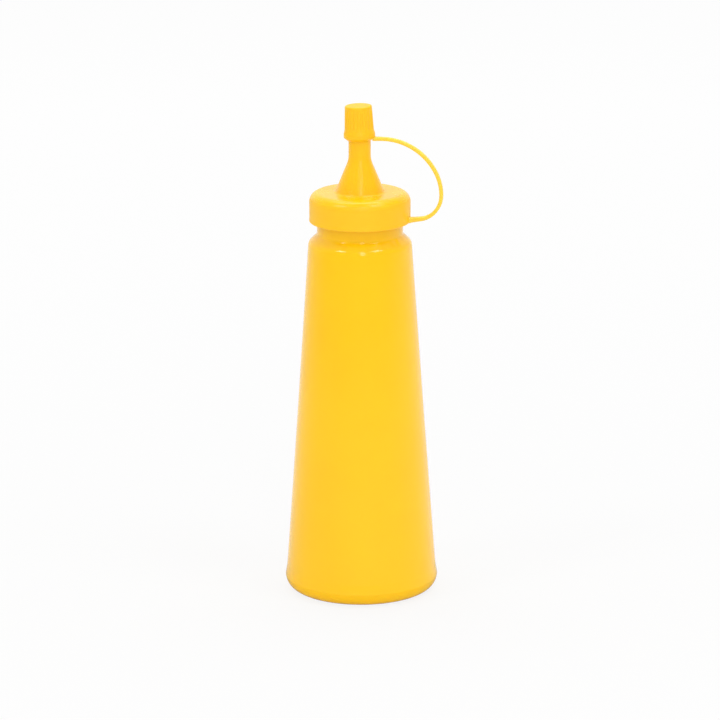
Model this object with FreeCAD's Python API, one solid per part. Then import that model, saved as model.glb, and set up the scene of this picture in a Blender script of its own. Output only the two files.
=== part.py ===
import FreeCAD, Part
import math
import os

# Squeeze bottle for mustard: a tapered bottle, a screw lid with a cone nozzle, a tip cap
# over the nozzle and the tether that joins the cap to the lid.
# Millimetres. +Z is up, the origin is the centre of the standing face, and the tether
# lies in the XZ plane on the +X side.

# Bottle
shoulder_height = 151.0    # standing face to the foot of the neck
foot_radius = 31.6         # widest ring, just above the heel
foot_level = 5.6           # height of the widest ring
heel_splay = 1.2           # how far the heel leans out below that ring
heel_rounding = 6.5
foot_step = 0.63           # the bead at the foot stands this far outside the wall
foot_step_height = 3.8
foot_rounding = 1.5
step_rounding = 6.0
waist_hollow = 0.2         # the wall's middle is drawn in by this much
waist_rounding = 15000.0   # one long soft curve from foot to shoulder
shoulder_step = 3.6        # how far the shoulder stands out from the neck
shoulder_drop = 3.4        # and how far it falls on the way
shoulder_rounding = 3.5
neck_radius = 17.64
neck_height = 15.4
neck_root_rounding = 1.1
neck_top_rounding = 0.5

# Lid, seated on the top of the neck
lid_height = 12.2
lid_roof = 2.0
lid_grip_clearance = 0.12  # round the upper part of the neck
lid_mouth_gap = 1.55       # open ring round the neck at the lid's mouth
lid_mouth_depth = 3.0
lid_wall = 1.59            # skirt, at the mouth
lid_top_rounding = 3.9
lid_rim_rounding = 0.45
cone_base_step = 5.6       # how far the cone's foot stands outside the nozzle
cone_height = 13.5
cone_root_rounding = 1.2
nozzle_radius = 4.55
nozzle_blend = 10.0        # hollow curve between cone and nozzle
bare_nozzle = 8.2          # nozzle that shows between the cone and the cap
nozzle_in_cap = 9.4

# Tip cap
cap_clearance = 0.12       # round the nozzle
cap_wall = 0.85            # at the cap's top
cap_height = 14.2
cap_taper = 2.5            # degrees, wider downwards
cap_lean = 2.0             # degrees, away from the tether
cap_top_rounding = 0.3
collar_height = 2.6
collar_step = 0.4          # the collar stands this far outside the cap's wall
collar_flare = 1.7         # height over which the wall runs out into the collar
collar_chamfer_height = 1.15
collar_chamfer_depth = 1.4
collar_rounding = 0.5
groove_count = 26
groove_depth = 0.2
groove_radius = 0.55
groove_top_margin = 1.5    # smooth band under the cap's top edge
groove_foot_margin = 0.4   # and above the flare

# Tether
tether_thickness = 1.5     # from the cap to half way down the lower bow
tether_width = 2.1
tether_low_thickness = 1.8   # it swells to this where it comes down to the lid
tether_low_width = 2.3
tether_edge_rounding = 0.45
tether_reach = 12.9        # outermost point of the bow, measured from the lid's wall
tether_bow_level = 11.9    # height of that point above the lid's rim
cap_root_length = 3.2
cap_root_level = 0.65      # height of the root's middle above the cap's mouth
cap_root_flare = [         # distance from the collar, thickness, width
    (0.0, 1.6, 3.0),
    (0.7, 1.6, 2.5),
    (1.9, 1.54, 2.25),
]
lid_root_length = 4.6
lid_root_flare = [         # distance from the lid's wall, thickness, width
    (0.0, 2.3, 4.2),
    (0.7, 2.12, 3.0),
    (2.1, 1.97, 2.5),
]
lid_root_rise = 8.0        # degrees above level
root_overlap = 1.0         # each root is run this far into its wall, then trimmed to it
upper_bow_balance = 0.3    # second arc of the bow against its first: cap to outermost point
lower_bow_balance = 0.6    # outermost point to lid

# Worked out
neck_top = shoulder_height + neck_height
lid_top = neck_top + lid_roof
lid_rim = lid_top - lid_height
lid_radius = neck_radius + lid_mouth_gap + lid_wall
cone_base_radius = nozzle_radius + cone_base_step
cone_top = lid_top + cone_height
cap_bottom = cone_top + bare_nozzle
cap_top = cap_bottom + cap_height
nozzle_tip = cap_bottom + nozzle_in_cap
cap_top_radius = nozzle_radius + cap_clearance + cap_wall

up = FreeCAD.Vector(0, 0, 1)
across = FreeCAD.Vector(0, 1, 0)
origin = FreeCAD.Vector(0, 0, 0)


def point(x, z):
    return FreeCAD.Vector(x, 0, z)


def corner_arc(start, corner, end):
    """Arc from start to end, tangent to the two equal sides that meet at the corner."""
    weight = (end - start).Length / (2 * (corner - start).Length)
    middle = (start + corner * (2 * weight) + end) * (1 / (2 + 2 * weight))
    return Part.Arc(start, middle, end).toShape()


def rounded_path(corners):
    """Edges along (place, rounding) corners; a rounding is limited by its sides."""
    places = [place for place, rounding in corners]
    sides = [(places[i + 1] - places[i]).Length for i in range(len(places) - 1)]
    setbacks = [0.0] * len(places)
    for i in range(1, len(places) - 1):
        turn = (places[i] - places[i - 1]).getAngle(places[i + 1] - places[i])
        setbacks[i] = corners[i][1] * math.tan(turn / 2)
    shares = [side / max(setbacks[i] + setbacks[i + 1], 1e-9) for i, side in enumerate(sides)]
    for i in range(1, len(places) - 1):
        setbacks[i] *= min(1.0, 0.999 * shares[i - 1], 0.999 * shares[i])

    edges = []
    last = places[0]
    for i in range(1, len(places) - 1):
        start = places[i] + (places[i - 1] - places[i]).normalize() * setbacks[i]
        end = places[i] + (places[i + 1] - places[i]).normalize() * setbacks[i]
        edges.append(Part.LineSegment(last, start).toShape())
        if setbacks[i] > 0:
            edges.append(corner_arc(start, places[i], end))
        last = end
    edges.append(Part.LineSegment(last, places[-1]).toShape())
    return edges


def turned(outline):
    """Solid of revolution about Z, from (radius, height, rounding) corners."""
    edges = rounded_path([(point(x, z), rounding) for x, z, rounding in outline])
    edges.append(Part.LineSegment(point(0, outline[-1][1]), point(0, outline[0][1])).toShape())
    return Part.Face(Part.Wire(edges)).revolve(origin, up, 360)


def cylinder(radius, bottom, top):
    return Part.makeCylinder(radius, top - bottom, point(0, bottom))


def make_bottle():
    wall_foot = (foot_radius - foot_step, foot_level + foot_step_height)
    wall_top = (neck_radius + shoulder_step, shoulder_height - shoulder_drop)
    waist = ((wall_foot[0] + wall_top[0]) / 2 - waist_hollow, (wall_foot[1] + wall_top[1]) / 2)
    return turned([
        (0, 0, 0),
        (foot_radius - heel_splay, 0, heel_rounding),
        (foot_radius, foot_level, foot_rounding),
        (wall_foot[0], wall_foot[1], step_rounding),
        (waist[0], waist[1], waist_rounding),
        (wall_top[0], wall_top[1], shoulder_rounding),
        (neck_radius, shoulder_height, neck_root_rounding),
        (neck_radius, neck_top, neck_top_rounding),
        (0, neck_top, 0),
    ])


def lid_outside():
    return turned([
        (0, lid_rim, 0),
        (lid_radius, lid_rim, lid_rim_rounding),
        (lid_radius, lid_top, lid_top_rounding),
        (cone_base_radius, lid_top, cone_root_rounding),
        (nozzle_radius, cone_top, nozzle_blend),
        (nozzle_radius, nozzle_tip, 0),
        (0, nozzle_tip, 0),
    ])


def make_lid():
    """The socket ends on the top of the neck, which carries the lid."""
    grip = cylinder(neck_radius + lid_grip_clearance, lid_rim, neck_top)
    mouth = cylinder(neck_radius + lid_mouth_gap, lid_rim, lid_rim + lid_mouth_depth)
    return lid_outside().cut(grip).cut(mouth)


def cap_wall_radius(level):
    return cap_top_radius + (cap_top - level) * math.tan(math.radians(cap_taper))


def leaned(shape):
    """Turned about the centre of the cap's mouth, away from the tether."""
    shape = shape.copy()
    shape.rotate(point(0, cap_bottom), across, -cap_lean)
    return shape


def cap_outside():
    flare_foot = cap_bottom + collar_height
    flare_top = flare_foot + collar_flare
    collar_radius = cap_wall_radius(flare_foot) + collar_step
    return turned([
        (0, cap_bottom, 0),
        (collar_radius - collar_chamfer_depth, cap_bottom, collar_rounding),
        (collar_radius, cap_bottom + collar_chamfer_height, collar_rounding),
        (collar_radius, flare_foot, collar_flare),
        (cap_wall_radius(flare_top), flare_top, collar_flare),
        (cap_top_radius, cap_top, cap_top_rounding),
        (0, cap_top, 0),
    ])


def cap_grooves():
    """Upright grip grooves, parallel to the tapered wall."""
    low = cap_bottom + collar_height + collar_flare + groove_foot_margin
    high = cap_top - groove_top_margin
    offset = groove_radius - groove_depth
    foot = point(cap_wall_radius(low) + offset, low)
    along = point(cap_wall_radius(high) + offset, high) - foot
    groove = Part.makeCylinder(groove_radius, along.Length, foot, along)
    grooves = []
    for i in range(groove_count):
        copy = groove.copy()
        copy.rotate(origin, up, 360 * (i + 0.5) / groove_count)
        grooves.append(copy)
    return Part.makeCompound(grooves)


def make_tip_cap():
    """The cap leans, but its socket follows the upright nozzle and rests on its tip."""
    socket = cylinder(nozzle_radius + cap_clearance, cap_bottom - cap_height, nozzle_tip)
    return leaned(cap_outside().cut(cap_grooves())).cut(socket)


def heading(degrees):
    """Direction in the XZ plane, in degrees above +X."""
    return point(math.cos(math.radians(degrees)), math.sin(math.radians(degrees)))


def bow(start, leaving, end, arriving, balance):
    """Two tangent arcs; balance is the second arc's tangent length against the first's."""
    gap = end - start
    both = leaving + arriving * balance
    spread = 2 * balance * (1 - leaving.dot(arriving))
    reach = gap.dot(both)
    first = (math.sqrt(reach * reach + spread * gap.dot(gap)) - reach) / spread
    first_corner = start + leaving * first
    second_corner = end - arriving * (first * balance)
    joint = first_corner + (second_corner - first_corner) * (1 / (1 + balance))
    return [corner_arc(start, first_corner, joint), corner_arc(joint, second_corner, end)]


def strap_section(centre, along, thickness, width):
    """Rounded rectangle square to the strap's direction."""
    half_up = across.cross(along).normalize() * (thickness / 2)
    half_out = across * (width / 2)
    seam = centre + half_up
    corners = [(seam, 0)]
    for side, end in ((1, 1), (-1, 1), (-1, -1), (1, -1)):
        corners.append((centre + half_up * side + half_out * end, tether_edge_rounding))
    corners.append((seam, 0))
    return Part.Wire(rounded_path(corners))


def strap_root(wall, along, flare, length, at_strap):
    """Straight root, set level into its wall, that flares down to the strap's own section."""
    sections = [strap_section(wall - heading(0) * root_overlap, along, *flare[0][1:])]
    for distance, thickness, width in [*flare, (length, *at_strap)]:
        sections.append(strap_section(wall + along * distance, along, thickness, width))
    return Part.makeLoft(sections, True, True)


def make_tether():
    level = heading(0)
    down = heading(-90)
    outward = heading(lid_root_rise)
    collar_wall = cap_wall_radius(cap_bottom + collar_height) + collar_step
    cap_end = point(collar_wall, cap_bottom + cap_root_level)
    cap_free = cap_end + level * cap_root_length
    outermost = point(lid_radius + tether_reach, lid_rim + tether_bow_level)
    lid_end = point(lid_radius, lid_rim + lid_root_flare[0][1] / 2)
    lid_free = lid_end + outward * lid_root_length

    slim = (tether_thickness, tether_width)
    full = (tether_low_thickness, tether_low_width)
    upper_arcs = bow(cap_free, level, outermost, down, upper_bow_balance)
    turning, arriving = bow(outermost, down, lid_free, outward * -1, lower_bow_balance)
    joint = turning.valueAt(turning.LastParameter)
    at_joint = turning.tangentAt(turning.LastParameter)
    even_path = Part.Wire([*upper_arcs, turning])
    even = even_path.makePipeShell([strap_section(cap_free, level, *slim)], True, False)
    swelling = Part.Wire([arriving]).makePipeShell([
        strap_section(joint, at_joint, *slim),
        strap_section(lid_free, outward * -1, *full),
    ], True, False)
    cap_root = strap_root(cap_end, level, cap_root_flare, cap_root_length, slim)
    lid_root = strap_root(lid_end, outward, lid_root_flare, lid_root_length, full)
    whole = even.fuse([swelling, cap_root, lid_root])
    return whole.cut(lid_outside()).cut(leaned(cap_outside()))


nodes = {
    "bottle": make_bottle(),
    "lid": make_lid(),
    "tip_cap": make_tip_cap(),
    "tether": make_tether(),
}

os.makedirs("parts", exist_ok=True)
for name, shape in nodes.items():
    solid, = shape.Solids
    solid.exportStep(f"parts/{name}.step")
    box = solid.optimalBoundingBox(True, False)
    print(f"{name}: valid {solid.isValid()}, {solid.Volume / 1000:.3f} cm3,"
          f" x {box.XMin:.2f} to {box.XMax:.2f}, z {box.ZMin:.2f} to {box.ZMax:.2f}")
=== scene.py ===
# Mustard dispenser: squeeze bottle, screw lid with its cone nozzle, ribbed tip cap and tether.
# Sizes in the pieces' dictionaries are millimetres and degrees, and the scales of their
# patterns are per metre; the meshes are in metres.
import math

import bmesh
import bpy
from mathutils import Matrix, Vector


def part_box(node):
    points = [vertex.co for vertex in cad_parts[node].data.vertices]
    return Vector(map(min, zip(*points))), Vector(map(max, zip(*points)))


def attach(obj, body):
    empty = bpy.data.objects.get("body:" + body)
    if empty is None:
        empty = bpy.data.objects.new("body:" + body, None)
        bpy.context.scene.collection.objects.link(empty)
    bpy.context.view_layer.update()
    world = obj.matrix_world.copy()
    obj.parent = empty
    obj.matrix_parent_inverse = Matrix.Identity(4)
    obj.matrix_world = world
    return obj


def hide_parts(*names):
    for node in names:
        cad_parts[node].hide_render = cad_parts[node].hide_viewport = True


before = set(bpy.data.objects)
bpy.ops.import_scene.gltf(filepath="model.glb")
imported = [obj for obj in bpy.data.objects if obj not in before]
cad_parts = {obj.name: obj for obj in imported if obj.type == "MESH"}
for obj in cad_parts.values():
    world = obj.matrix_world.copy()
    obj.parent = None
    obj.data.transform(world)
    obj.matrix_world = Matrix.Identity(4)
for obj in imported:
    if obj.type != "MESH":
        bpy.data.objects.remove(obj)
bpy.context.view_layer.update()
mm = 0.001
weldReach = 0.000002                  # points nearer to each other than this become one
poleReach = 0.001                     # points nearer to the axis than this are a pole
print("stage: frame loaded, nodes", sorted(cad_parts))


def nodeBox(node):
    # the lowest and highest corner of a piece's solid, in millimetres
    low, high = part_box(node)
    return low / mm, high / mm


def restPieces():
    # leaves edit mode, with nothing selected
    if bpy.context.mode != "OBJECT":
        bpy.ops.object.mode_set(mode="OBJECT")
    bpy.ops.object.select_all(action="DESELECT")


def startRing(name, points, ring):
    # a circle of this (radius, height), open in edit mode
    restPieces()
    bpy.ops.mesh.primitive_circle_add(
        vertices=points, radius=ring[0] * mm, fill_type="NOTHING", location=(0, 0, ring[1] * mm))
    piece = bpy.context.active_object
    piece.name = name
    piece.data.name = name
    bpy.ops.object.transform_apply(location=True, rotation=True, scale=True)
    bpy.ops.object.mode_set(mode="EDIT")
    bpy.ops.mesh.select_mode(type="VERT")
    bpy.ops.mesh.select_all(action="SELECT")
    return piece


def growRings(rings):
    # each ring is pulled out of the last one, then brought to its own radius
    for last, ring in zip(rings, rings[1:]):
        bpy.ops.mesh.extrude_edges_move(
            TRANSFORM_OT_translate={"value": (0, 0, (ring[1] - last[1]) * mm)})
        share = ring[0] / last[0]
        bpy.ops.transform.resize(value=(share, share, 1), center_override=(0, 0, ring[1] * mm))


def closeRing():
    # fills the selected ring and gathers it in one pole
    bpy.ops.mesh.edge_face_add()
    bpy.ops.mesh.poke()


def pickPoints(piece, test):
    bpy.ops.mesh.select_mode(type="VERT")
    bpy.ops.mesh.select_all(action="DESELECT")
    shape = bmesh.from_edit_mesh(piece.data)
    for point in shape.verts:
        point.select = bool(test(point.co))
    shape.select_flush(True)
    bmesh.update_edit_mesh(piece.data)


def pickEdges(piece, test):
    bpy.ops.mesh.select_mode(type="EDGE")
    bpy.ops.mesh.select_all(action="DESELECT")
    shape = bmesh.from_edit_mesh(piece.data)
    for edge in shape.edges:
        edge.select = bool(test(edge.verts[0].co, edge.verts[1].co))
    bmesh.update_edit_mesh(piece.data)


def finishPiece(piece, angle=40):
    bpy.ops.mesh.select_mode(type="VERT")
    bpy.ops.mesh.select_all(action="SELECT")
    bpy.ops.mesh.remove_doubles(threshold=weldReach)
    bpy.ops.mesh.normals_make_consistent(inside=False)
    bpy.ops.object.mode_set(mode="OBJECT")
    bpy.ops.object.shade_smooth_by_angle(angle=math.radians(angle))


def roundedRings(corners, step=7.0):
    # rings along (radius, height, rounding) corners, one for each step of degrees;
    # a rounding is limited by the sides that it joins
    sideUse = 0.999                   # share of a side that its roundings may take up
    nothing = 1e-6
    places = [Vector((row[0], row[1])) for row in corners]
    sides = [(b - a).length for a, b in zip(places, places[1:])]
    turns = [0.0] * len(places)
    setbacks = [0.0] * len(places)
    for i in range(1, len(places) - 1):
        turns[i] = (places[i] - places[i - 1]).angle(places[i + 1] - places[i])
        setbacks[i] = corners[i][2] * math.tan(turns[i] / 2)
    shares = [sideUse * (side / max(setbacks[i] + setbacks[i + 1], nothing))
              for i, side in enumerate(sides)]
    rings = [tuple(places[0])]
    for i in range(1, len(places) - 1):
        back = setbacks[i] * min(1.0, shares[i - 1], shares[i])
        if back < nothing:
            rings.append(tuple(places[i]))
            continue
        start = places[i] + (places[i - 1] - places[i]).normalized() * back
        end = places[i] + (places[i + 1] - places[i]).normalized() * back
        weight = math.cos(turns[i] / 2)
        count = max(2, math.ceil(math.degrees(turns[i]) / step))
        for j in range(count + 1):
            t = j / count
            a, b, c = (1 - t) ** 2, 2 * weight * t * (1 - t), t ** 2
            rings.append(tuple((start * a + places[i] * b + end * c) / (a + b + c)))
    rings.append(tuple(places[-1]))
    return rings


def spacedRings(rings, longest):
    # long straight runs get rings in between
    full = [rings[0]]
    for last, ring in zip(rings, rings[1:]):
        length = math.dist(last, ring)
        count = max(1, math.ceil(length / longest))
        for j in range(1, count + 1):
            t = j / count
            full.append((last[0] + (ring[0] - last[0]) * t, last[1] + (ring[1] - last[1]) * t))
    return full


def onRing(place, radius, slack=1e-6):
    # whether a point is this far from the axis
    return abs(math.hypot(place.x, place.y) - radius * mm) < slack


def fromMiddle(place, angle, shift=0.0):
    # how far round a point is from the middle of its share of the turn, 0 to 0.5
    return abs((math.degrees(math.atan2(place.y, place.x)) / angle + shift) % 1 - 0.5)


def seamRidge(piece, angle, low, high, halfWidth, rise):
    # a fine raised line down one side, where the halves of the mould meet
    sameWay = 0.99999                 # cosine from which a point counts as on the line
    toward = Vector((math.cos(math.radians(angle)), math.sin(math.radians(angle)), 0))

    def onLine(place):
        flat = Vector((place.x, place.y, 0))
        return (low * mm <= place.z <= high * mm and flat.length > poleReach
                and flat.normalized().dot(toward) > sameWay)

    pickEdges(piece, lambda a, b: onLine(a) and onLine(b))
    bpy.ops.mesh.bevel(offset=halfWidth * mm, segments=2, affect="EDGES", clamp_overlap=True)
    pickPoints(piece, onLine)
    bpy.ops.transform.translate(value=tuple(toward * rise * mm))


def addNode(tree, kind, **settings):
    node = tree.nodes.new(kind)
    for key, value in settings.items():
        setattr(node, key, value)
    return node


def noiseNode(tree, place, stretch, scale, detail, rough=0.5):
    mapping = addNode(tree, "ShaderNodeMapping")
    mapping.inputs["Scale"].default_value = stretch
    tree.links.new(place, mapping.inputs["Vector"])
    noise = addNode(tree, "ShaderNodeTexNoise")
    noise.inputs["Scale"].default_value = scale
    noise.inputs["Detail"].default_value = detail
    noise.inputs["Roughness"].default_value = rough
    tree.links.new(mapping.outputs["Vector"], noise.inputs["Vector"])
    return noise.outputs["Fac"]


def rangeNode(tree, value, low, high, toLow, toHigh):
    node = addNode(tree, "ShaderNodeMapRange", clamp=True)
    node.inputs["From Min"].default_value = low
    node.inputs["From Max"].default_value = high
    node.inputs["To Min"].default_value = toLow
    node.inputs["To Max"].default_value = toHigh
    tree.links.new(value, node.inputs["Value"])
    return node.outputs["Result"]


def bumpNode(tree, height, distance, before=None):
    node = addNode(tree, "ShaderNodeBump")
    node.inputs["Strength"].default_value = 1.0
    node.inputs["Distance"].default_value = distance * mm
    tree.links.new(height, node.inputs["Height"])
    if before is not None:
        tree.links.new(before, node.inputs["Normal"])
    return node.outputs["Normal"]


plasticFinish = {                     # shared by all the pieces; a piece's own values come first
    "driftDetail": 3, "streakDetail": 4,
    "rampHalf": 0.2,                  # either side of the middle, to the deep and the pale colour
    "satinDetail": 5, "satinRange": (0.3, 0.7),
    "scuffDetail": 6, "scuffBreak": 0.65,
    "scuffRange": (0.56, 0.80),       # only the highest spots of the pattern are scuffed
    "waveDetail": 1, "peelDetail": 3,
    "polished": [],                   # rows of (height, how much smoother from there up)
    "polishRise": 0.5,                # height in which a polish sets in
    "softReach": (1.0, 0.42, 0.06),   # how far red, green and blue travel inside
}


def mouldedPlastic(name, pieceFinish):
    # pigment drift and flow streaks in the colour, satin patches, scuffs, wall waves, fine peel
    finish = {**plasticFinish, **pieceFinish}
    even = (1, 1, 1)
    material = bpy.data.materials.new(name)
    material.use_nodes = True
    tree = material.node_tree
    shader = tree.nodes["Principled BSDF"]
    place = addNode(tree, "ShaderNodeTexCoord").outputs["Object"]

    drift = noiseNode(tree, place, even, finish["driftScale"], finish["driftDetail"])
    drawn = (1, 1, finish["streakStretch"])
    streak = noiseNode(tree, place, drawn, finish["streakScale"], finish["streakDetail"])
    blend = addNode(tree, "ShaderNodeMath", operation="MULTIPLY_ADD")
    blend.inputs[1].default_value = finish["streakShare"]
    tree.links.new(streak, blend.inputs[0])
    tree.links.new(drift, blend.inputs[2])
    ramp = addNode(tree, "ShaderNodeValToRGB")
    middle = (1 + finish["streakShare"]) / 2
    deep, pale = ramp.color_ramp.elements
    deep.position = middle - finish["rampHalf"]
    deep.color = (*finish["deepColour"], 1)
    pale.position = middle + finish["rampHalf"]
    pale.color = (*finish["paleColour"], 1)
    tree.links.new(blend.outputs["Value"], ramp.inputs["Fac"])
    tree.links.new(ramp.outputs["Color"], shader.inputs["Base Color"])

    satin = noiseNode(tree, place, even, finish["satinScale"], finish["satinDetail"])
    scuff = noiseNode(tree, place, finish["scuffStretch"], finish["scuffScale"],
                      finish["scuffDetail"], finish["scuffBreak"])
    scuffed = rangeNode(tree, scuff, *finish["scuffRange"], 0.0, finish["scuffRoughness"])
    smooth = rangeNode(tree, satin, *finish["satinRange"], *finish["roughness"])
    for height, share in finish["polished"]:
        axes = addNode(tree, "ShaderNodeSeparateXYZ")
        tree.links.new(place, axes.inputs["Vector"])
        full = height + finish["polishRise"]
        polish = rangeNode(tree, axes.outputs["Z"], height * mm, full * mm, 0.0, share)
        less = addNode(tree, "ShaderNodeMath", operation="SUBTRACT", use_clamp=True)
        tree.links.new(smooth, less.inputs[0])
        tree.links.new(polish, less.inputs[1])
        smooth = less.outputs["Value"]
    total = addNode(tree, "ShaderNodeMath", operation="ADD", use_clamp=True)
    tree.links.new(smooth, total.inputs[0])
    tree.links.new(scuffed, total.inputs[1])
    tree.links.new(total.outputs["Value"], shader.inputs["Roughness"])

    waves = noiseNode(tree, place, finish["waveStretch"], finish["waveScale"],
                      finish["waveDetail"])
    peel = noiseNode(tree, place, even, finish["peelScale"], finish["peelDetail"])
    waved = bumpNode(tree, waves, finish["waveDepth"])
    peeled = bumpNode(tree, peel, finish["peelDepth"], waved)
    marked = bumpNode(tree, scuffed, finish["scuffDepth"], peeled)
    tree.links.new(marked, shader.inputs["Normal"])

    shader.inputs["IOR"].default_value = finish["ior"]
    shader.inputs["Subsurface Weight"].default_value = finish["softness"]
    shader.inputs["Subsurface Radius"].default_value = finish["softReach"]
    shader.inputs["Subsurface Scale"].default_value = finish["softDepth"] * mm
    return material


def dress(piece, node, material):
    piece.data.materials.append(material)
    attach(piece, "root")
    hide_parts(node)
    print("stage:", piece.name, "done,", len(piece.data.polygons), "faces")


# Bottle

bottleLook = {
    "points": 144,
    "outline": [                      # radius, height above the foot, rounding
        (30.38, 0.0, 6.5),            # standing ring
        (31.59, 5.6, 1.5),            # bead above the heel
        (30.96, 9.4, 6.0),
        (25.90, 78.5, 15000),         # middle of the wall
        (21.22, 147.6, 3.5),          # shoulder
        (17.64, 151.0, 1.1),          # root of the neck
    ],
    "neckRounding": 0.5,
    "topInset": 1.6,                  # the top closes in one pole from this far inside the neck
    "pushUp": [(25.5, 0.0, 1.2), (22.5, 1.1, 2.0), (6.0, 1.5, 8.0)],  # hollow under the foot
    "ringSpacing": 5.0,
    "seamAngles": (0, 180),
    "seamSpan": (6.4, 146.6),         # heights above the foot
    "seamHalfWidth": 0.16,
    "seamRise": 0.05,
    "finish": {
        "deepColour": (0.985, 0.556, 0.0028),
        "paleColour": (0.995, 0.582, 0.0039),
        "driftScale": 26, "streakScale": 34, "streakStretch": 0.16, "streakShare": 0.5,
        "satinScale": 90, "roughness": (0.10, 0.14),
        "scuffScale": 150, "scuffStretch": (1, 1, 0.35),
        "scuffRoughness": 0.07, "scuffDepth": 0.008,
        "waveScale": 42, "waveStretch": (1, 1, 0.5), "waveDepth": 0.08,
        "peelScale": 900, "peelDepth": 0.003,
        "ior": 1.5, "softness": 0.10, "softDepth": 1.2,
    },
}


def makeBottle(look):
    low, high = nodeBox("bottle")
    neck = look["outline"][-1][0]
    outer = [(radius, low.z + height, rounding) for radius, height, rounding in look["outline"]]
    outer += [(neck, high.z, look["neckRounding"]), (neck - look["topInset"], high.z, 0.0)]
    inner = [(radius, low.z + height, rounding) for radius, height, rounding in look["pushUp"]]
    rings = spacedRings(roundedRings(inner[::-1] + outer), look["ringSpacing"])
    piece = startRing("squeezeBottle", look["points"], rings[0])
    closeRing()
    pickPoints(piece, lambda place: onRing(place, rings[0][0]))
    growRings(rings)
    closeRing()
    bottom, top = (low.z + height for height in look["seamSpan"])
    for angle in look["seamAngles"]:
        seamRidge(piece, angle, bottom, top, look["seamHalfWidth"], look["seamRise"])
    finishPiece(piece)
    dress(piece, "bottle", mouldedPlastic("bottlePlastic", look["finish"]))


makeBottle(bottleLook)


# Lid with its cone and nozzle

lidLook = {
    "points": 156,
    "outline": [                      # radius, height above the rim, rounding
        (17.76, 10.2, 0.0),           # socket that grips the neck
        (17.76, 3.0, 0.3),
        (19.19, 3.0, 0.3),            # open ring at the mouth
        (19.19, 0.02, 0.25),
        (20.78, 0.02, 0.45),          # rim band
        (20.78, 1.15, 0.5),
        (20.70, 1.55, 1.0),
        (20.72, 12.2, 3.9),           # edge of the top
        (10.15, 12.2, 1.2),           # foot of the cone
        (4.55, 25.7, 10.0),           # nozzle
    ],
    "tipRounding": 0.6,
    "tipSetback": 0.1,                # below the top of the solid
    "tipFlat": 2.0,                   # the tip closes in one pole from this radius
    "ringSpacing": 2.5,
    "fluteCount": 39,
    "fluteLow": 15.8,
    "fluteHigh": 26.3,
    "fluteDepth": 0.05,
    "fluteRadius": 5.5,               # the cone's own, about half way up
    "flutePasses": [(0.0, 1.0, 0.5), (0.25, 0.75, 0.5)],  # from, to, share of the depth
    "finish": {
        "deepColour": (0.985, 0.538, 0.0032),
        "paleColour": (0.995, 0.557, 0.0045),
        "driftScale": 45, "streakScale": 60, "streakStretch": 0.3, "streakShare": 0.35,
        "satinScale": 160, "roughness": (0.40, 0.44),
        "polished": [(166.0, 0.16), (168.8, 0.02)],
        "scuffScale": 260, "scuffStretch": (1, 1, 0.4),
        "scuffRoughness": 0.05, "scuffDepth": 0.002,
        "waveScale": 80, "waveStretch": (1, 1, 1), "waveDepth": 0.02,
        "peelScale": 1300, "peelDepth": 0.002,
        "ior": 1.42, "softness": 0.10, "softDepth": 1.0,
    },
}


def makeLid(look):
    low, high = nodeBox("lid")
    nozzle = look["outline"][-1][0]
    outline = [(radius, low.z + height, rounding) for radius, height, rounding in look["outline"]]
    tip = high.z - look["tipSetback"]
    outline += [(nozzle, tip, look["tipRounding"]), (look["tipFlat"], tip, 0.0)]
    rings = spacedRings(roundedRings(outline), look["ringSpacing"])
    piece = startRing("coneLid", look["points"], rings[0])
    closeRing()
    pickPoints(piece, lambda place: math.hypot(place.x, place.y) > poleReach)
    growRings(rings)
    closeRing()

    # flutes: one line of points in each sinks, deeper towards the middle of its height
    count = look["points"] // look["fluteCount"]
    fluteAngle = 360 / look["fluteCount"]
    span = look["fluteHigh"] - look["fluteLow"]
    for start, end, share in look["flutePasses"]:
        bottom = (low.z + look["fluteLow"] + span * start) * mm
        top = (low.z + look["fluteLow"] + span * end) * mm
        pickPoints(piece, lambda place: bottom <= place.z <= top
                   and fromMiddle(place, fluteAngle, 0.5) < 0.5 / count)
        smaller = 1 - look["fluteDepth"] * share / look["fluteRadius"]
        bpy.ops.transform.resize(value=(smaller, smaller, 1), center_override=(0, 0, 0))
    finishPiece(piece)
    dress(piece, "lid", mouldedPlastic("lidPlastic", look["finish"]))


makeLid(lidLook)


# Tip cap

capLook = {
    "ribCount": 26,
    "pointsPerRib": 8,
    "nozzleInside": 9.4,              # how much of the nozzle the cap takes in
    "lean": 2.0,                      # degrees, away from the tether
    "outline": [                      # radius, height above the mouth, rounding
        (4.74, 0.0, 0.0),
        (5.03, 0.0, 0.5),             # collar, with a chamfer below
        (6.42, 1.15, 0.5),
        (6.42, 2.6, 1.2),
        (5.95, 4.3, 1.2),
        (5.51, 14.19, 0.6),           # top edge
        (1.5, 14.19, 0.0),
    ],
    "bore": [(4.67, 0.3), (4.67, 9.4)],  # radius, height above the mouth
    "ringSpacing": 1.2,
    "ringTurn": 12,                   # degrees for each ring of a rounding
    "ribLow": 4.75,
    "ribHigh": 12.6,
    "ribFade": 0.7,                   # the grooves reach half their depth before this height
    "grooveDepth": 0.26,
    "grooveRadius": 5.7,              # the wall's own, about half way up
    "groovePasses": [(0.14, 0.42), (0.27, 0.36), (0.39, 0.22)],  # reach, share of the depth
    "finish": {
        "deepColour": (0.985, 0.534, 0.0032),
        "paleColour": (0.995, 0.555, 0.0045),
        "driftScale": 70, "streakScale": 90, "streakStretch": 0.4, "streakShare": 0.3,
        "satinScale": 240, "roughness": (0.41, 0.45),
        "scuffScale": 320, "scuffStretch": (1, 1, 0.6),
        "scuffRoughness": 0.05, "scuffDepth": 0.003,
        "waveScale": 120, "waveStretch": (1, 1, 1), "waveDepth": 0.010,
        "peelScale": 1600, "peelDepth": 0.002,
        "ior": 1.38, "softness": 0.12, "softDepth": 0.8,
    },
}


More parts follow.
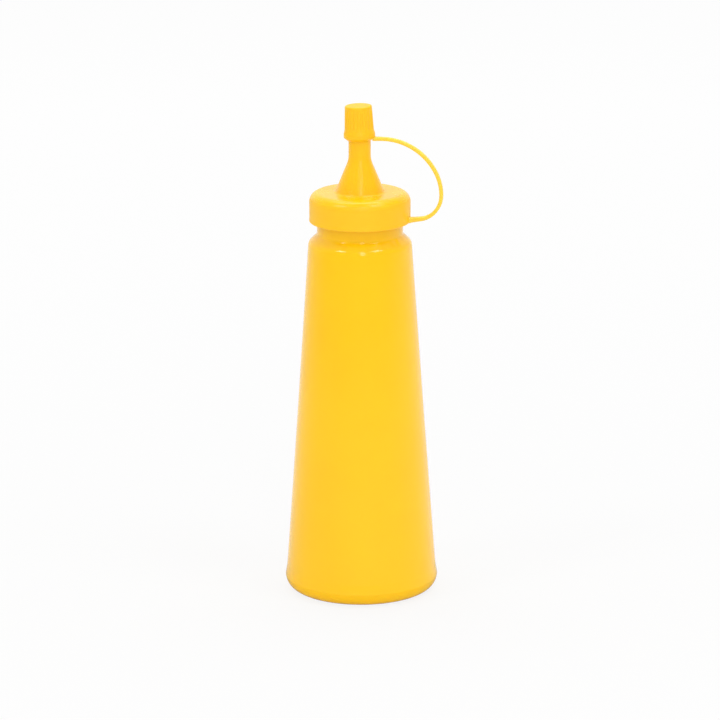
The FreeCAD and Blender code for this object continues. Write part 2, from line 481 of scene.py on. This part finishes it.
def makeTipCap(look):
    mouth = nodeBox("lid")[1].z - look["nozzleInside"]
    points = look["ribCount"] * look["pointsPerRib"]
    outline = [(radius, mouth + height, rounding) for radius, height, rounding in look["outline"]]
    rings = spacedRings(roundedRings(outline, look["ringTurn"]), look["ringSpacing"])
    piece = startRing("ribbedTipCap", points, rings[0])
    growRings(rings)
    closeRing()

    # grooves: the points half way between two ribs sink deepest, their neighbours less
    ribAngle = 360 / look["ribCount"]
    for reach, share in look["groovePasses"]:
        smaller = 1 - look["grooveDepth"] * share / 2 / look["grooveRadius"]
        for margin in (0.0, look["ribFade"]):
            low = (mouth + look["ribLow"] + margin) * mm
            high = (mouth + look["ribHigh"] - margin) * mm
            pickPoints(piece, lambda place: low <= place.z <= high
                       and fromMiddle(place, ribAngle) < reach)
            bpy.ops.transform.resize(value=(smaller, smaller, 1), center_override=(0, 0, 0))

    # lean away from the tether, then an upright bore over the nozzle
    bpy.ops.mesh.select_all(action="SELECT")
    bpy.ops.transform.rotate(
        value=math.radians(look["lean"]), orient_axis="Y", center_override=(0, 0, mouth * mm))
    leaning = 2e-5                    # slack, as the leaning mouth isn't quite round from below
    pickPoints(piece, lambda place: onRing(place, rings[0][0], leaning)
               and place.z < (mouth + look["bore"][0][1]) * mm)
    growRings([rings[0]] + [(radius, mouth + height) for radius, height in look["bore"]])
    closeRing()
    finishPiece(piece)
    dress(piece, "tip_cap", mouldedPlastic("tipCapPlastic", look["finish"]))


makeTipCap(capLook)


# Tether between cap and lid

tetherLook = {
    "section": (1.5, 2.1),            # thickness and width, from the cap to half way down
    "lowSection": (1.8, 2.3),         # where the bow ends at the lid's root
    "edgeRounding": 0.45,
    "bendStep": 4,                    # degrees between two sections
    "bowLevel": 11.9,                 # outermost point, above the lid's rim
    "bowMargin": 0.002,               # its gap to the side of the solid's box
    "balances": (0.3, 0.6),           # upper and lower bow: second tangent over the first
    "sunk": 0.9,                      # how deep both ends sit in the collar and the wall
    "capWall": 6.42,
    "capLevel": 0.65,                 # above the cap's mouth
    "capRoot": [                      # distance from the collar, thickness, width
        (0.0, 1.6, 3.0), (0.35, 1.6, 2.7), (0.7, 1.6, 2.5), (1.3, 1.56, 2.34),
        (1.9, 1.54, 2.25), (3.2, 1.5, 2.1)],
    "lidRoot": [                      # distance from the lid's wall, thickness, width
        (0.0, 2.28, 4.15), (0.35, 2.19, 3.5), (0.7, 2.12, 3.0), (1.3, 2.03, 2.68),
        (2.1, 1.97, 2.5), (3.3, 1.88, 2.4), (4.6, 1.8, 2.3)],
    "lidMargin": 0.02,                # the root's underside above the solid's rim
    "lidRise": 8.0,                   # degrees
    "finish": {
        "deepColour": (0.960, 0.650, 0.0450),
        "paleColour": (0.980, 0.672, 0.0550),
        "driftScale": 60, "streakScale": 120, "streakStretch": 1.0, "streakShare": 0.3,
        "satinScale": 240, "roughness": (0.32, 0.36),
        "scuffScale": 320, "scuffStretch": (1, 1, 1),
        "scuffRoughness": 0.04, "scuffDepth": 0.0005,
        "waveScale": 160, "waveStretch": (1, 1, 1), "waveDepth": 0.004,
        "peelScale": 1500, "peelDepth": 0.0005,
        "ior": 1.5, "softness": 0.15, "softDepth": 1.0,
    },
}


def strapArcs(start, leaving, end, arriving, balance):
    # two arcs that meet on one tangent, each as (turn centre, signed angle)
    gap = end - start
    both = leaving + arriving * balance
    spread = 2 * balance * (1 - leaving.dot(arriving))
    reach = gap.dot(both)
    first = (math.sqrt(reach * reach + spread * gap.dot(gap)) - reach) / spread
    corners = (start + leaving * first, end - arriving * first * balance)
    joint = corners[0] + (corners[1] - corners[0]) / (1 + balance)
    arcs = []
    for begin, corner, finish in ((start, corners[0], joint), (joint, corners[1], end)):
        ahead = (corner - begin).normalized()
        after = (finish - corner).normalized()
        turn = math.atan2(ahead.x * after.y - ahead.y * after.x, ahead.dot(after))
        radius = (corner - begin).length / math.tan(abs(turn) / 2)
        side = Vector((-ahead.y, ahead.x)) * math.copysign(radius, turn)
        arcs.append((begin + side, turn))
    return arcs


def strapResize(place, last, section):
    # brings the open end from the last (thickness, width) to the new one
    thick, wide = section[0] / last[0], section[1] / last[1]
    bpy.ops.transform.resize(
        value=(thick, wide, thick), center_override=(place.x * mm, 0, place.y * mm))


def strapRun(place, along, stops, section):
    # straight run through (distance, thickness, width) stops, from the first to the last
    reached = stops[0][0]
    for distance, *size in stops:
        if distance != reached:
            step = along * abs(distance - reached)
            bpy.ops.mesh.extrude_region_move(
                TRANSFORM_OT_translate={"value": (step.x * mm, 0, step.y * mm)})
            place = place + step
        strapResize(place, section, size)
        reached, section = distance, size


def bendSteps(turn, stepAngle, fewest=4):
    # how many sections an arc takes
    return max(fewest, round(abs(math.degrees(turn)) / stepAngle))


def strapBend(turnCentre, turn, steps):
    # one arc of the bow, its section even
    bpy.ops.mesh.spin(
        steps=steps, angle=turn, center=(turnCentre.x * mm, 0, turnCentre.y * mm), axis=(0, 1, 0))


def strapSwell(place, turnCentre, turn, steps, section, endSection):
    # one arc of the bow, its section growing along it
    for i in range(steps):
        strapBend(turnCentre, turn / steps, 1)
        place = turnCentre + Matrix.Rotation(turn / steps, 2) @ (place - turnCentre)
        t = (i + 1) / steps
        grown = tuple(a + (b - a) * t for a, b in zip(section, endSection))
        before = tuple(a + (b - a) * (t - 1 / steps) for a, b in zip(section, endSection))
        strapResize(place, before, grown)


def makeTether(look):
    lidLow, lidHigh = nodeBox("lid")
    mouth = lidHigh.z - capLook["nozzleInside"]
    slim, full = look["section"], look["lowSection"]
    level, down = Vector((1, 0)), Vector((0, -1))
    rise = math.radians(look["lidRise"])
    outward = Vector((math.cos(rise), math.sin(rise)))
    capWall = Vector((look["capWall"], mouth + look["capLevel"]))
    capFree = capWall + level * look["capRoot"][-1][0]
    lidWall = Vector((lidHigh.x, lidLow.z + look["lidMargin"] + look["lidRoot"][0][1] / 2))
    lidFree = lidWall + outward * look["lidRoot"][-1][0]
    reach = nodeBox("tether")[1].x - look["bowMargin"]
    outermost = Vector((reach - slim[0] / 2, lidLow.z + look["bowLevel"]))

    # rounded section inside the collar, square to the strap
    start = capWall - level * look["sunk"]
    restPieces()
    bpy.ops.mesh.primitive_plane_add(
        size=mm, location=(start.x * mm, 0, start.y * mm), rotation=(0, math.radians(90), 0))
    piece = bpy.context.active_object
    piece.name = "tetherStrap"
    piece.data.name = "tetherStrap"
    bpy.ops.object.transform_apply(location=True, rotation=True, scale=True)
    bpy.ops.object.mode_set(mode="EDIT")
    bpy.ops.mesh.select_all(action="SELECT")
    bpy.ops.transform.resize(
        value=(1, slim[1], slim[0]), center_override=(start.x * mm, 0, start.y * mm))
    bpy.ops.mesh.bevel(offset=look["edgeRounding"] * mm, segments=4, affect="VERTICES")

    # root at the collar, upper bow, lower bow that swells in its second arc, root at the lid
    inside = look["capRoot"][0][1:]
    strapResize(start, slim, inside)
    strapRun(start, level, [(-look["sunk"], *inside)] + look["capRoot"], inside)
    upper = strapArcs(capFree, level, outermost, down, look["balances"][0])
    (first, firstTurn), (second, secondTurn) = strapArcs(
        outermost, down, lidFree, -outward, look["balances"][1])
    for turnCentre, turn in upper + [(first, firstTurn)]:
        strapBend(turnCentre, turn, bendSteps(turn, look["bendStep"]))
    joint = first + Matrix.Rotation(firstTurn, 2) @ (outermost - first)
    strapSwell(joint, second, secondTurn, bendSteps(secondTurn, look["bendStep"]), slim, full)
    lidRoot = look["lidRoot"][::-1]
    strapRun(lidFree, -outward, lidRoot, full)
    inside = lidRoot[-1][1:]
    strapRun(lidWall, -level, [(0.0, *inside), (look["sunk"], *inside)], inside)
    finishPiece(piece, 60)
    dress(piece, "tether", mouldedPlastic("tetherPlastic", look["finish"]))


makeTether(tetherLook)


# Floor, light and camera

studioLook = {                        # metres and degrees, unless a note says otherwise
    "floorRadius": 6.0,
    "floorPoints": 96,
    "floorDrop": 0.0002,              # just below the foot
    "paleWhite": 0.983,
    "floorShade": 0.10,               # how strongly the seen floor takes light and shadow
    "floorLight": (1.27, 0.895),      # how strongly the open floor is lit, near and far
    "floorFade": (0.10, 1.0),         # where near turns to far
    "floorBounce": 0.94,              # paleness of the paper that lights the object
    "floorMirror": (0.60, 0.30, 1.0),  # painted light that gloss shows of the floor: near front, far front, back
    "floorReach": (0.40, 1.10),       # where near turns to far in it
    "floorSides": (-0.35, 1.0),       # where front turns to back, by the direction's Y
    "floorPaintedShadow": (0.028, 0.060, 0.40),  # painted contact shadow in what gloss shows of the floor: dark from, gone by, level, under the foot
    "roomMirror": (0.30, 1.0),        # what gloss shows of the room: dim in front, white behind
    "mirrorSides": (-0.2, 0.9),
    "roomTurn": -18.0,                # how far round its bright side stands
    "roomSoft": (0.65, 0.77),         # what lights the object from the same sides
    "softSides": (-0.3, 0.9),
    "lampTarget": 0.11,               # height that all the lamps face
    "lamps": [                        # name, azimuth, height angle, distance, width, tall, watts
        ("keyLamp", 16, 30, 1.4, 0.24, 1.2, 3.4),
        ("topLamp", 10, 106, 1.4, 1.2, 0.6, 7.0),
        ("leftLamp", -46, 50, 1.3, 0.30, 0.28, 2.4),
        ("rightLamp", 64, 57, 1.3, 0.44, 0.40, 3.0),
    ],
    "cameraAzimuth": 10.0,
    "cameraHeight": 15.0,
    "cameraDistance": 1.85,
    "cameraTarget": 97.3,             # millimetres above the floor
    "cameraAside": -0.235,            # millimetres to the right
    "cameraRoll": 0.25,
    "cameraLens": 224.4,              # millimetres, as the sensor
    "cameraSensor": 36.0,
    "cameraNearest": 0.05,
}


def studioPlace(azimuth, height, distance, target):
    # a place at this distance from the target, by its angle round from the front and up
    a, h = math.radians(azimuth), math.radians(height)
    toward = Vector((math.sin(a) * math.cos(h), -math.cos(a) * math.cos(h), math.sin(h)))
    return target + toward * distance


def levelMix(tree, share, low, high):
    # low where share is 0, high where it is 1; either may be a number or a socket
    mix = addNode(tree, "ShaderNodeMix", data_type="FLOAT")
    tree.links.new(share, mix.inputs[0])
    for socket, value in ((mix.inputs[2], low), (mix.inputs[3], high)):
        if isinstance(value, (int, float)):
            socket.default_value = value
        else:
            tree.links.new(value, socket)
    return mix.outputs[0]


def backness(tree, place, near, far, turn=0.0):
    # 0 in front of the object, 1 behind it, from the direction alone
    mapping = addNode(tree, "ShaderNodeMapping", vector_type="POINT")
    mapping.inputs["Rotation"].default_value = (0, 0, math.radians(turn))
    tree.links.new(place, mapping.inputs["Vector"])
    aim = addNode(tree, "ShaderNodeVectorMath", operation="NORMALIZE")
    tree.links.new(mapping.outputs["Vector"], aim.inputs[0])
    axes = addNode(tree, "ShaderNodeSeparateXYZ")
    tree.links.new(aim.outputs["Vector"], axes.inputs["Vector"])
    return rangeNode(tree, axes.outputs["Y"], near, far, 0.0, 1.0)


def makeFloor(look):
    restPieces()
    bpy.ops.mesh.primitive_circle_add(
        vertices=look["floorPoints"], radius=look["floorRadius"], fill_type="NGON",
        location=(0, 0, -look["floorDrop"]))
    floor = bpy.context.active_object
    floor.name = "paleFloor"
    bpy.ops.object.transform_apply(location=True, rotation=True, scale=True)
    material = bpy.data.materials.new("floorPaper")
    material.use_nodes = True
    tree = material.node_tree
    tree.nodes.clear()
    rays = addNode(tree, "ShaderNodeLightPath")
    place = addNode(tree, "ShaderNodeTexCoord").outputs["Object"]
    output = addNode(tree, "ShaderNodeOutputMaterial")

    # what lights the object: plain matt paper
    bounce = addNode(tree, "ShaderNodeBsdfDiffuse")
    bounce.inputs["Color"].default_value = (*[look["floorBounce"]] * 3, 1)

    # what the camera sees: white with the object's soft shadow
    shade = addNode(tree, "ShaderNodeBsdfDiffuse")
    shade.inputs["Color"].default_value = (*[look["floorShade"]] * 3, 1)
    glow = addNode(tree, "ShaderNodeEmission")
    distance = addNode(tree, "ShaderNodeVectorMath", operation="LENGTH")
    tree.links.new(place, distance.inputs[0])
    glows = [look["paleWhite"] - look["floorShade"] * light for light in look["floorLight"]]
    fill = rangeNode(tree, distance.outputs["Value"], *look["floorFade"], *glows)
    tree.links.new(fill, glow.inputs["Strength"])
    white = addNode(tree, "ShaderNodeAddShader")
    tree.links.new(shade.outputs["BSDF"], white.inputs[0])
    tree.links.new(glow.outputs["Emission"], white.inputs[1])

    # what glossy surfaces mirror: paper painted with light, brighter near the object and behind
    # it, that runs out into the dim front of the room
    nearFront, farFront, back = look["floorMirror"]
    front = rangeNode(tree, distance.outputs["Value"], *look["floorReach"], nearFront, farFront)
    level = levelMix(tree, backness(tree, place, *look["floorSides"]), front, back)
    # painted contact shadow: what gloss shows of the floor darkens close round the foot
    edge, gone, dark = look["floorPaintedShadow"]
    paintedShadow = rangeNode(tree, distance.outputs["Value"], edge, gone, dark, 1.0)
    dimmed = addNode(tree, "ShaderNodeMath", operation="MULTIPLY")
    tree.links.new(level, dimmed.inputs[0])
    tree.links.new(paintedShadow, dimmed.inputs[1])
    mirrored = addNode(tree, "ShaderNodeEmission")
    tree.links.new(dimmed.outputs["Value"], mirrored.inputs["Strength"])

    last = bounce.outputs["BSDF"]
    for ray, shader in (("Is Glossy Ray", mirrored.outputs["Emission"]),
                        ("Is Transmission Ray", white.outputs["Shader"]),
                        ("Is Camera Ray", white.outputs["Shader"])):
        mix = addNode(tree, "ShaderNodeMixShader")
        tree.links.new(rays.outputs[ray], mix.inputs["Fac"])
        tree.links.new(last, mix.inputs[1])
        tree.links.new(shader, mix.inputs[2])
        last = mix.outputs["Shader"]
    tree.links.new(last, output.inputs["Surface"])
    floor.data.materials.append(material)


def makeWorld(look):
    world = bpy.data.worlds.new("studioWorld")
    world.use_nodes = True
    tree = world.node_tree
    back = tree.nodes["Background"]
    back.inputs["Color"].default_value = (1, 1, 1, 1)
    rays = addNode(tree, "ShaderNodeLightPath")
    aim = addNode(tree, "ShaderNodeTexCoord").outputs["Generated"]
    soft = levelMix(tree, backness(tree, aim, *look["softSides"]), *look["roomSoft"])
    sides = backness(tree, aim, *look["mirrorSides"], look["roomTurn"])
    mirrored = levelMix(tree, sides, *look["roomMirror"])
    room = levelMix(tree, rays.outputs["Is Glossy Ray"], soft, mirrored)
    seen = levelMix(tree, rays.outputs["Is Transmission Ray"], room, look["paleWhite"])
    strength = levelMix(tree, rays.outputs["Is Camera Ray"], seen, look["paleWhite"])
    tree.links.new(strength, back.inputs["Strength"])
    bpy.context.scene.world = world


def makeLamps(look):
    target = Vector((0, 0, look["lampTarget"]))
    for name, azimuth, height, distance, width, tall, power in look["lamps"]:
        restPieces()
        place = studioPlace(azimuth, height, distance, target)
        bpy.ops.object.light_add(type="AREA", location=place)
        lamp = bpy.context.active_object
        lamp.name = name
        lamp.rotation_euler = (target - place).to_track_quat("-Z", "Y").to_euler()
        lamp.data.shape = "RECTANGLE"
        lamp.data.size = width
        lamp.data.size_y = tall
        lamp.data.energy = power


def makeCamera(look):
    azimuth = math.radians(look["cameraAzimuth"])
    aside = Vector((math.cos(azimuth), math.sin(azimuth), 0)) * look["cameraAside"] * mm
    target = Vector((0, 0, look["cameraTarget"] * mm)) + aside
    place = studioPlace(
        look["cameraAzimuth"], look["cameraHeight"], look["cameraDistance"], target)
    restPieces()
    bpy.ops.object.camera_add(location=place)
    camera = bpy.context.active_object
    camera.name = "studioCamera"
    turned = (target - place).to_track_quat("-Z", "Y").to_matrix().to_4x4()
    roll = Matrix.Rotation(math.radians(-look["cameraRoll"]), 4, "Z")
    camera.matrix_world = Matrix.Translation(place) @ turned @ roll
    camera.data.lens = look["cameraLens"]
    camera.data.sensor_width = look["cameraSensor"]
    camera.data.clip_start = look["cameraNearest"]
    bpy.context.scene.camera = camera


makeFloor(studioLook)
makeWorld(studioLook)
makeLamps(studioLook)
makeCamera(studioLook)
bpy.context.scene.view_settings.view_transform = "Standard"
restPieces()
print("stage: floor, light and camera set")
